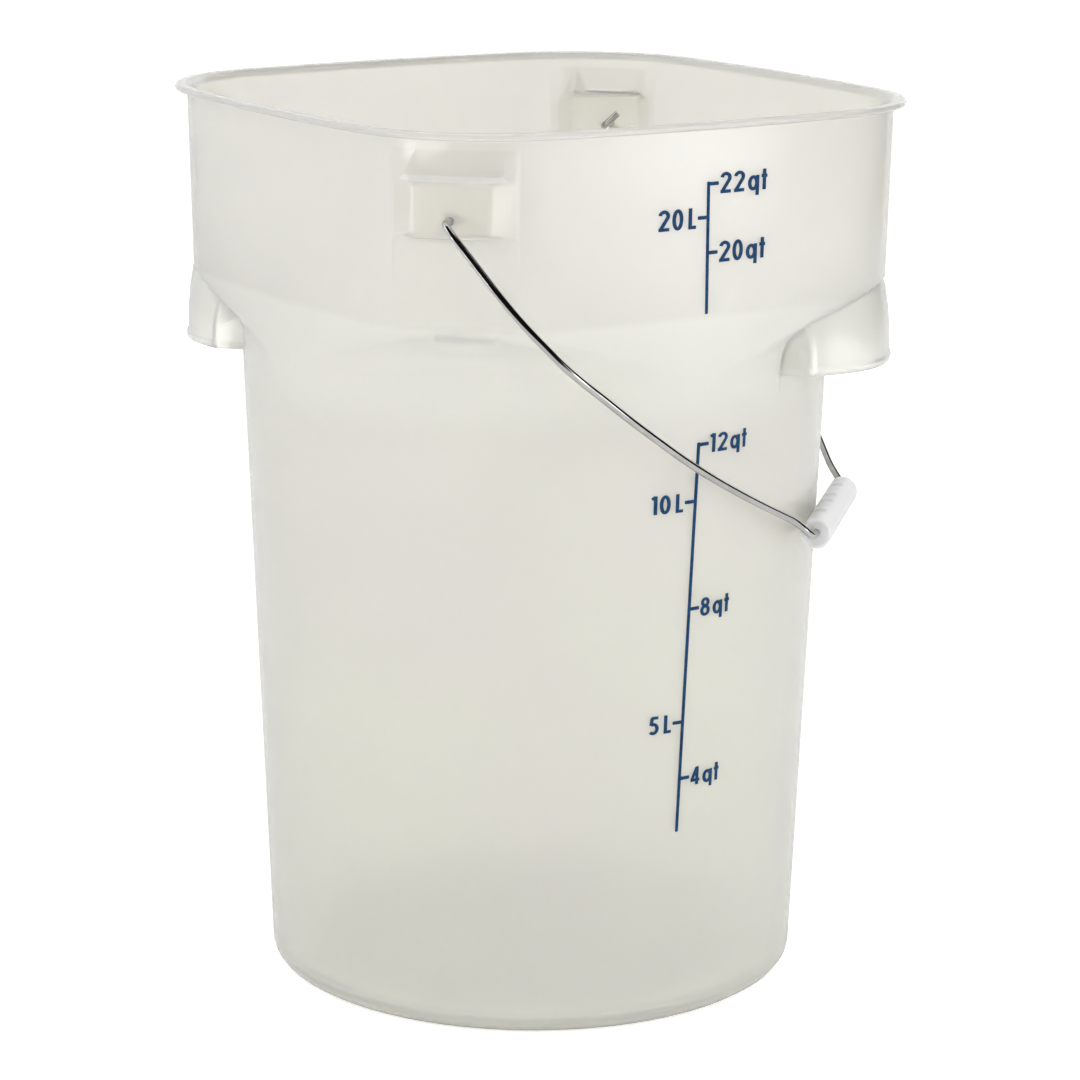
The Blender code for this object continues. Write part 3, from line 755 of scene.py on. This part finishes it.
@dataclass
class PrintedScale:
    """The measuring scale: two upright lines with ticks and labels in quarts and litres."""

    bearing: float = math.radians(-45)
    line_width: float = 0.0016
    tick_reach: float = 0.0049
    label_gap: float = 0.0011
    stroke_share: float = 0.165
    letter_stretch: float = 1.27
    letter_gap_share: float = 0.11
    unit_gap_share: float = 0.15
    litre_gap_share: float = 0.24
    film_low: float = 0.00003
    film_high: float = 0.00009
    slice_height: float = 0.012
    weld: float = 1e-7
    ray_start: float = 0.30
    body_radius: float = 0.1285
    finish: ScaleInk = ScaleInk(
        name="dark_blue_scale_ink",
        roughness=0.42,
        mottle_scale=420.0,
        mottle_drift=7.0,
        wear_roughness=0.12,
        grain_scale=2600.0,
        grain_depth=0.000008,
        grain_strength=1.0,
    )
    runs: tuple[ScaleRun, ...] = (
        ScaleRun(
            top=0.3790,
            bottom=0.3230,
            across_top=-0.0001,
            across_bottom=0.0008,
            letter_height=0.0089,
            marks=(
                Graduation("22qt", 0.3784, LabelSide.QUARTS),
                Graduation("20L", 0.3642, LabelSide.LITRES),
                Graduation("20qt", 0.3490, LabelSide.QUARTS),
            ),
            slice_width=0.0020,
        ),
        ScaleRun(
            top=0.2664,
            bottom=0.0908,
            across_top=-0.0008,
            across_bottom=-0.0043,
            letter_height=0.0083,
            marks=(
                Graduation("12qt", 0.2658, LabelSide.QUARTS),
                Graduation("10L", 0.2408, LabelSide.LITRES),
                Graduation("8qt", 0.1925, LabelSide.QUARTS),
                Graduation("5L", 0.1413, LabelSide.LITRES),
                Graduation("4qt", 0.1151, LabelSide.QUARTS),
            ),
            slice_width=0.0012,
        ),
    )

    def build(self, shell: Object, shelf: EffectShelf) -> Object:
        """Print the scale on the moulding.

        Args:
            shell: The dressed moulding.
            shelf: The shared effects.

        Returns:
            The scale's piece, a thin film that follows the wall.
        """
        wall = BVHTree.FromPolygons(
            [vertex.co.copy() for vertex in shell.data.vertices],
            [tuple(face.vertices) for face in shell.data.polygons],
        )
        work = bmesh.new()
        for run in self.runs:
            self._print_run(work, run, wall)
        mesh = bpy.data.meshes.new("printed_scale")
        work.to_mesh(mesh)
        work.free()
        mesh.materials.append(self.finish.build(shelf))
        obj = new_object(mesh)
        finish_piece(obj, Body.CONTAINER)
        return obj

    def _bars(self, run: ScaleRun) -> Shapes:
        """Return the four-cornered shapes of a run's line, ticks and letters, as (across, height) points."""
        half = self.line_width / 2
        shapes = self._stroke(((run.across(run.top), run.top), (run.across(run.bottom), run.bottom)), half, half)
        for mark in run.marks:
            sign = mark.side.value
            line = run.across(mark.height)
            end = line + sign * self.tick_reach
            shapes += self._stroke(((line, mark.height), (end, mark.height)), half, half)
            foot = mark.height - run.letter_height / 2
            width = self._label_width(mark.label, run.letter_height)
            start = end + self.label_gap if sign > 0 else end - self.label_gap - width
            shapes += self._letters(mark.label, start, foot, run.letter_height)
        return shapes

    def _gap(self, before: str, after: str) -> float:
        """Return the gap between two characters, as a share of their height."""
        if after == "L":
            return self.litre_gap_share
        return self.unit_gap_share if after == "q" and before.isdigit() else self.letter_gap_share

    def _label_width(self, label: str, height: float) -> float:
        """Return a label's width at this letter height."""
        share = sum(GLYPHS[letter].width for letter in label)
        share += sum(self._gap(before, after) for before, after in zip(label, label[1:]))
        return share * height * self.letter_stretch

    def _letters(self, label: str, start: float, foot: float, height: float) -> Shapes:
        """Return the four-cornered shapes of a label's strokes, from its left edge and its foot."""
        shapes = []
        wide = height * self.letter_stretch
        for index, letter in enumerate(label):
            if index:
                start += self._gap(label[index - 1], letter) * wide
            half = self.stroke_share / 2
            for stroke in GLYPHS[letter].strokes:
                for shape in self._stroke(stroke, half, 0.0):
                    shapes.append([(start + across * wide, foot + rise * height) for across, rise in shape])
            start += GLYPHS[letter].width * wide
        return shapes

    @staticmethod
    def _stroke(points: tuple[Spot, ...], half: float, overrun: float) -> Shapes:
        """Return the quads along a stroke.

        Args:
            points: The stroke's middle line.
            half: Half its width.
            overrun: How far a small rounded end stands past its first and last point.

        Returns:
            Four-cornered shapes, as (x, y) points.
        """
        line = [Vector(point) for point in points]
        closed = (line[0] - line[-1]).length < SAME_POINT
        sides = []
        for index, point in enumerate(line):
            before = line[index - 1] if index else (line[-2] if closed else point)
            after = line[index + 1] if index + 1 < len(line) else (line[1] if closed else point)
            into = (point - before).normalized() if (point - before).length else (after - point).normalized()
            out = (after - point).normalized() if (after - point).length else into
            along = (into + out).normalized()
            square = Vector((-along.y, along.x))
            reach = half / max(MITRE_LIMIT, along.dot(out))
            sides.append((point + square * reach, point - square * reach))
        shapes = [
            [tuple(left), tuple(right), tuple(next_right), tuple(next_left)]
            for (left, right), (next_left, next_right) in zip(sides, sides[1:])
        ]
        if overrun and not closed:
            for end, inner, (left, right) in ((line[0], line[1], sides[0]), (line[-1], line[-2], sides[-1])):
                away = (end - inner).normalized() * overrun * CAP_REACH
                middle = (left + right) / 2
                far = [middle + (side - middle) * CAP_WIDTH + away for side in (right, left)]
                shapes.append([tuple(point) for point in (left, right, *far)])
        return [counter_clockwise(shape) for shape in shapes]

    def _print_run(self, work: bmesh.types.BMesh, run: ScaleRun, wall: BVHTree) -> None:
        """Add one run of the scale to the mesh in work, as a closed film that lies on the wall."""
        shapes = self._bars(run)
        points = [Vector(point) for shape in shapes for point in shape]
        count = len(shapes[0])
        edges = [
            (index * count + start, index * count + (start + 1) % count)
            for index in range(len(shapes))
            for start in range(count)
        ]
        low_x, high_x = min(p.x for p in points), max(p.x for p in points)
        low_z, high_z = min(p.y for p in points), max(p.y for p in points)
        cuts: list[tuple[Vector, Vector]] = []
        margin = self.line_width
        for across in spread(low_x, high_x, math.ceil((high_x - low_x) / run.slice_width)):
            cuts.append((Vector((across, low_z - margin)), Vector((across, high_z + margin))))
        for height in spread(low_z, high_z, math.ceil((high_z - low_z) / self.slice_height)):
            cuts.append((Vector((low_x - margin, height)), Vector((high_x + margin, height))))
        for start, end in cuts:
            edges.append((len(points), len(points) + 1))
            points += [start, end]
        vertices, _, triangles, *_ = delaunay_2d_cdt(points, edges, [], 0, self.weld)
        kept = [triangle for triangle in triangles if self._inked(triangle, vertices, shapes)]
        rows: dict[int, tuple[bmesh.types.BMVert, bmesh.types.BMVert]] = {}
        for index in sorted({index for triangle in kept for index in triangle}):
            spot, out = self._on_wall(vertices[index], run, wall)
            rows[index] = (work.verts.new(spot + out * self.film_high), work.verts.new(spot + out * self.film_low))
        for triangle in kept:
            work.faces.new([rows[index][0] for index in triangle])
            work.faces.new([rows[index][1] for index in reversed(triangle)])
        sides = [pair for triangle in kept for pair in zip(triangle, (*triangle[1:], triangle[0]))]
        inner = set(sides)
        for start, end in sides:
            if (end, start) not in inner:
                work.faces.new((rows[end][0], rows[start][0], rows[start][1], rows[end][1]))

    @staticmethod
    def _inked(triangle: list[int], vertices: list[Vector], shapes: Shapes) -> bool:
        """Tell whether a flat triangle's middle lies inside one of the strokes' counter-clockwise shapes."""
        x, y = sum((vertices[index] for index in triangle), Vector((0, 0))) / 3
        for shape in shapes:
            following = (*shape[1:], shape[0])
            if all((b[0] - a[0]) * (y - a[1]) - (b[1] - a[1]) * (x - a[0]) >= 0 for a, b in zip(shape, following)):
                return True
        return False

    def _on_wall(self, point: Vector, run: ScaleRun, wall: BVHTree) -> tuple[Vector, Vector]:
        """Return where a point of a run, as (across, height), lies on the wall, and the outward direction there."""
        flat = run is self.runs[0]
        turn = self.bearing if flat else self.bearing + point.x / self.body_radius
        facing = Vector((math.cos(turn), math.sin(turn), 0))
        start = facing * self.ray_start
        if flat:
            start += Vector((-facing.y, facing.x, 0)) * point.x
        start.z = point.y
        spot, *_ = wall.ray_cast(start, -facing)
        if spot is None:
            raise ValueError(f"the print misses the wall at {tuple(point)}")
        return spot, facing


# The bail


def round_corner(before: Vector, corner: Vector, after: Vector, radius: float, steps: int = 9) -> list[Vector]:
    """Return points that take the corner of a path at a radius.

    Args:
        before: The point before the corner.
        corner: The corner.
        after: The point after it.
        radius: The bend's radius.
        steps: The number of steps round it.

    Returns:
        The points of the bend.
    """
    towards = (before - corner).normalized()
    away = (after - corner).normalized()
    half = towards.angle(away) / 2
    reach = radius / math.tan(half)
    centre = corner + (towards + away).normalized() * (radius / math.sin(half))
    start = corner + towards * reach - centre
    end = corner + away * reach - centre
    turn = start.angle(end)
    return [
        centre + (start * math.sin(turn - angle) + end * math.sin(angle)) / math.sin(turn)
        for angle in spread(0, turn, steps)
    ]


def smooth_run(guide: list[Vector], steps: int) -> list[Vector]:
    """Return a smooth run of points through the second to the last of these points.

    Args:
        guide: The points, the first of which only gives the direction.
        steps: The number of steps between two points.

    Returns:
        The run.
    """
    run = []
    for index in range(1, len(guide) - 1):
        before, start, end = guide[index - 1 : index + 2]
        after = guide[min(index + 2, len(guide) - 1)]
        for share in spread(0, 1, steps)[:-1]:
            doubled = (
                2 * start
                + (end - before) * share
                + (2 * before - 5 * start + 4 * end - after) * share**2
                + (3 * start - before - 3 * end + after) * share**3
            )
            run.append(0.5 * doubled)
    return run


def shape_by_tree(obj: Object, tree: NodeTree, values: dict[str, float]) -> None:
    """Run a geometry tree on an object with these inputs, and keep the result as the object's plain mesh."""
    modifier = obj.modifiers.new(tree.name, "NODES")
    modifier.node_group = tree
    for item in tree.interface.items_tree:
        if item.in_out == "INPUT" and item.name in values:
            modifier[item.identifier] = values[item.name]
    made = bpy.data.meshes.new_from_object(obj.evaluated_get(bpy.context.evaluated_depsgraph_get()))
    obj.modifiers.clear()
    made.name = obj.name
    obj.data = made


@dataclass
class BailHoop:
    """The wire hoop: two curved arms, their bent pins in the bosses, and the straight middle inside the grip."""

    pivot_height: float = 0.369
    hang_angle: float = math.radians(42.2018)
    drop: float = 0.2046
    wire_radius: float = 0.0016
    sides: int = 28
    bend_radius: float = 0.0036
    inner_pin: float = 0.15352
    outer_pin: float = 0.17222
    tail: float = 0.010
    half_grip: float = 0.0445
    grip_shares: tuple[float, ...] = (0.96, 0.6, 0.2)
    arm_steps: int = 5
    arm: tuple[Spot, ...] = (
        (0.17503, 0.00573),
        (0.17631, 0.01309),
        (0.17861, 0.02537),
        (0.18116, 0.03969),
        (0.18116, 0.05361),
        (0.17861, 0.06588),
        (0.17580, 0.07611),
        (0.17043, 0.08552),
        (0.16392, 0.09453),
        (0.15281, 0.11048),
        (0.14093, 0.12522),
        (0.12816, 0.13974),
        (0.11347, 0.15325),
        (0.09661, 0.16654),
        (0.07962, 0.17862),
        (0.06570, 0.18782),
        (0.05880, 0.19253),
        (0.05510, 0.19703),
        (0.05242, 0.20153),
        (0.04935, 0.20399),
        (0.04530, 0.20460),
    )
    finish: PlatedWire = PlatedWire(
        name="bright_plated_wire",
        roughness=0.055,
        mottle_scale=90.0,
        mottle_drift=3.0,
        scuffs=0.6,
        scuff_scale=220.0,
        wear_roughness=0.14,
        grain_depth=0.000006,
        grain_strength=1.0,
    )

    def build(self, shelf: EffectShelf) -> Object:
        """Return the wire, swept along its path."""
        points = self._path()
        mesh = bpy.data.meshes.new("bail_hoop")
        mesh.from_pydata(points, [(index, index + 1) for index in range(len(points) - 1)], [])
        hoop = new_object(mesh)
        tree = self._sweep_tree(self.finish.build(shelf))
        shape_by_tree(hoop, tree, {"Wire Radius": self.wire_radius, "Sides": self.sides})
        finish_piece(hoop, Body.BAIL, "bail_wire")
        return hoop

    def _path(self) -> list[Vector]:
        """Return the wire's centre line, from one turned-over tail to the other, as it hangs on the body."""
        tail = Vector((self.tail, self.inner_pin, 0))
        inner = Vector((0, self.inner_pin, 0))
        outer = Vector((0, self.outer_pin, 0))
        guide = [outer, *(Vector((0, out, -down)) for out, down in self.arm)]
        arm = smooth_run(guide, self.arm_steps)
        half = [
            tail,
            *round_corner(tail, inner, outer, self.bend_radius),
            *round_corner(inner, outer, arm[0], self.bend_radius),
            *arm,
            *(Vector((0, self.half_grip * share, -self.drop)) for share in self.grip_shares),
        ]
        whole = half + [Vector((-point.x, -point.y, point.z)) for point in reversed(half)]
        hang = Matrix.Translation((0, 0, self.pivot_height)) @ Matrix.Rotation(-self.hang_angle, 4, "Y")
        return [hang @ point for point in whole]

    @staticmethod
    def _sweep_tree(material: Material) -> NodeTree:
        """Return the tree that sweeps a round section along a path, in this finish."""
        tree = bpy.data.node_groups.new("round_wire", "GeometryNodeTree")
        for name, way, kind in (
            ("Path", "INPUT", "Geometry"),
            ("Wire Radius", "INPUT", "Float"),
            ("Sides", "INPUT", "Int"),
            ("Wire", "OUTPUT", "Geometry"),
        ):
            tree.interface.new_socket(name, in_out=way, socket_type=f"NodeSocket{kind}")
        kit = NodeKit(tree)
        given = kit.add("NodeGroupInput")
        line = kit.add("GeometryNodeMeshToCurve")
        section = kit.add("GeometryNodeCurvePrimitiveCircle")
        sweep = kit.add("GeometryNodeCurveToMesh")
        sweep.inputs["Fill Caps"].default_value = True
        real = kit.add("GeometryNodeRealizeInstances")
        dress = kit.add("GeometryNodeSetMaterial")
        dress.inputs["Material"].default_value = material
        result = kit.add("NodeGroupOutput")
        for source, out, target, into in (
            (given, "Path", line, "Mesh"),
            (given, "Wire Radius", section, "Radius"),
            (given, "Sides", section, "Resolution"),
            (line, "Curve", sweep, "Curve"),
            (section, "Curve", sweep, "Profile Curve"),
            (sweep, "Mesh", real, "Geometry"),
            (real, "Geometry", dress, "Geometry"),
            (dress, "Geometry", result, "Wire"),
        ):
            kit.link(source.outputs[out], target.inputs[into])
        return tree


# The studio


@dataclass(frozen=True)
class SoftBox:
    """One area lamp, aimed at a point."""

    name: str
    place: Place
    aim: Place
    width: float
    height: float
    power: float

    def build(self) -> Object:
        """Return the lamp, in the scene and out of the camera's sight."""
        data = bpy.data.lights.new(self.name, "AREA")
        data.shape = "RECTANGLE"
        data.size = self.width
        data.size_y = self.height
        data.energy = self.power
        lamp = new_object(data)
        lamp.location = self.place
        lamp.rotation_euler = (Vector(self.aim) - Vector(self.place)).to_track_quat("-Z", "Y").to_euler()
        lamp.visible_camera = False
        return lamp


@dataclass(frozen=True)
class DarkCard:
    """A black card that only reflections see, which gives the bright wire its dark core."""

    name: str
    place: Place
    aim: Place
    width: float
    height: float
    colour: Colour = (0.01, 0.01, 0.01)

    def build(self) -> Object:
        """Return the card, which only reflections see."""
        turn = (Vector(self.aim) - Vector(self.place)).to_track_quat("Z", "Y").to_matrix().to_4x4()
        mesh = bpy.data.meshes.new(self.name)
        half = Vector((self.width / 2, self.height / 2))
        corners = [Vector((x * half.x, y * half.y, 0)) for x, y in CORNERS]
        mesh.from_pydata([turn @ corner + Vector(self.place) for corner in corners], [], [(0, 1, 2, 3)])
        material, _, shader = principled(self.name, {"Roughness": 1.0, "Specular IOR Level": 0.0})
        shader.inputs["Base Color"].default_value = (*self.colour, 1.0)
        mesh.materials.append(material)
        card = new_object(mesh)
        card.visible_camera = False
        card.visible_diffuse = False
        card.visible_transmission = False
        card.visible_shadow = False
        return card


@dataclass
class Studio:
    """The plain room, its soft lamps and the camera."""

    ambient: float = 0.85
    floor_reach: float = 6.0
    lens: float = 121.264
    sensor_width: float = 36.0
    far_limit: float = 50.0
    camera_place: Place = (0.34911304, -1.59767671, 0.59333411)
    camera_turn: Place = (1.33258828, -0.00687979, 0.21488669)
    boxes: tuple[SoftBox, ...] = (
        SoftBox("key_softbox", (-1.9, -1.2, 1.2), (0, 0, 0.22), 1.3, 1.3, 5.0),
        SoftBox("side_softbox", (2.0, -0.2, 0.55), (0, 0, 0.25), 1.1, 1.1, 4.0),
        SoftBox("back_softbox", (0.9, 2.2, 1.2), (0, 0, 0.2), 1.6, 1.2, 3.0),
        SoftBox("low_left_softbox", (-1.1, -1.7, 0.12), (0, 0, 0.32), 1.4, 0.22, 6.0),
        SoftBox("low_right_softbox", (1.75, -1.0, 0.22), (0, 0, 0.30), 1.7, 0.42, 7.8),
        SoftBox("top_softbox", (-0.4, -0.8, 2.1), (0, -0.1, 0.35), 0.6, 0.6, 1.5),
    )
    cards: tuple[DarkCard, ...] = (
        DarkCard("front_dark_card", (0.22, -0.80, 0.75), (0.02, 0, 0.4), 3.2, 1.6),
        DarkCard("side_dark_card", (0.95, 0.45, 0.50), (0, 0, 0.3), 1.3, 0.7),
        DarkCard("upper_dark_card", (0.80, 0.40, 1.10), (0.03, -0.17, 0.33), 1.6, 1.1),
    )

    def build(self) -> None:
        """Set up the floor, the world, the lamps, the cards and the camera."""
        self._floor()
        self._world()
        for box in self.boxes:
            box.build()
        for card in self.cards:
            card.build()
        data = bpy.data.cameras.new("photograph_view")
        data.lens = self.lens
        data.sensor_width = self.sensor_width
        data.clip_end = self.far_limit
        camera = new_object(data)
        camera.location = self.camera_place
        camera.rotation_euler = Euler(self.camera_turn, "XYZ")
        bpy.context.scene.camera = camera
        bpy.context.scene.view_settings.view_transform = "Standard"

    def _floor(self) -> None:
        """Lay the floor under the pail."""
        mesh = bpy.data.meshes.new("floor")
        mesh.from_pydata([(x * self.floor_reach, y * self.floor_reach, 0) for x, y in CORNERS], [], [(0, 1, 2, 3)])
        mesh.materials.append(PaleFloor().build())
        new_object(mesh)

    def _world(self) -> None:
        """Make the world white where it is seen, and soft where it only lights."""
        world = bpy.data.worlds.new("white_room")
        bpy.context.scene.world = world
        world.use_nodes = True
        kit = NodeKit(world.node_tree)
        world.node_tree.nodes.clear()
        result = kit.add("ShaderNodeOutputWorld")
        light, shown = kit.add("ShaderNodeBackground"), kit.add("ShaderNodeBackground")
        for background, strength in ((light, self.ambient), (shown, 1.0)):
            background.inputs["Color"].default_value = (1.0, 1.0, 1.0, 1.0)
            background.inputs["Strength"].default_value = strength
        mix = kit.add("ShaderNodeMixShader")
        kit.link(seen_rays(kit), mix.inputs[0])
        kit.link(light.outputs[0], mix.inputs[1])
        kit.link(shown.outputs[0], mix.inputs[2])
        kit.link(mix.outputs[0], result.inputs["Surface"])


def main() -> None:
    """Load the frame, dress it, logging each piece's face count, and set up the studio."""
    logging.basicConfig(level=logging.INFO, format="%(name)s: %(message)s")
    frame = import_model()
    shelf = EffectShelf()
    shell = PAIL.build(frame["nodes"], shelf)
    PrintedScale().build(shell, shelf)
    BailHoop().build(shelf)
    GRIP.build(frame["nodes"], shelf)
    Studio().build()


if __name__ == "__main__":
    main()
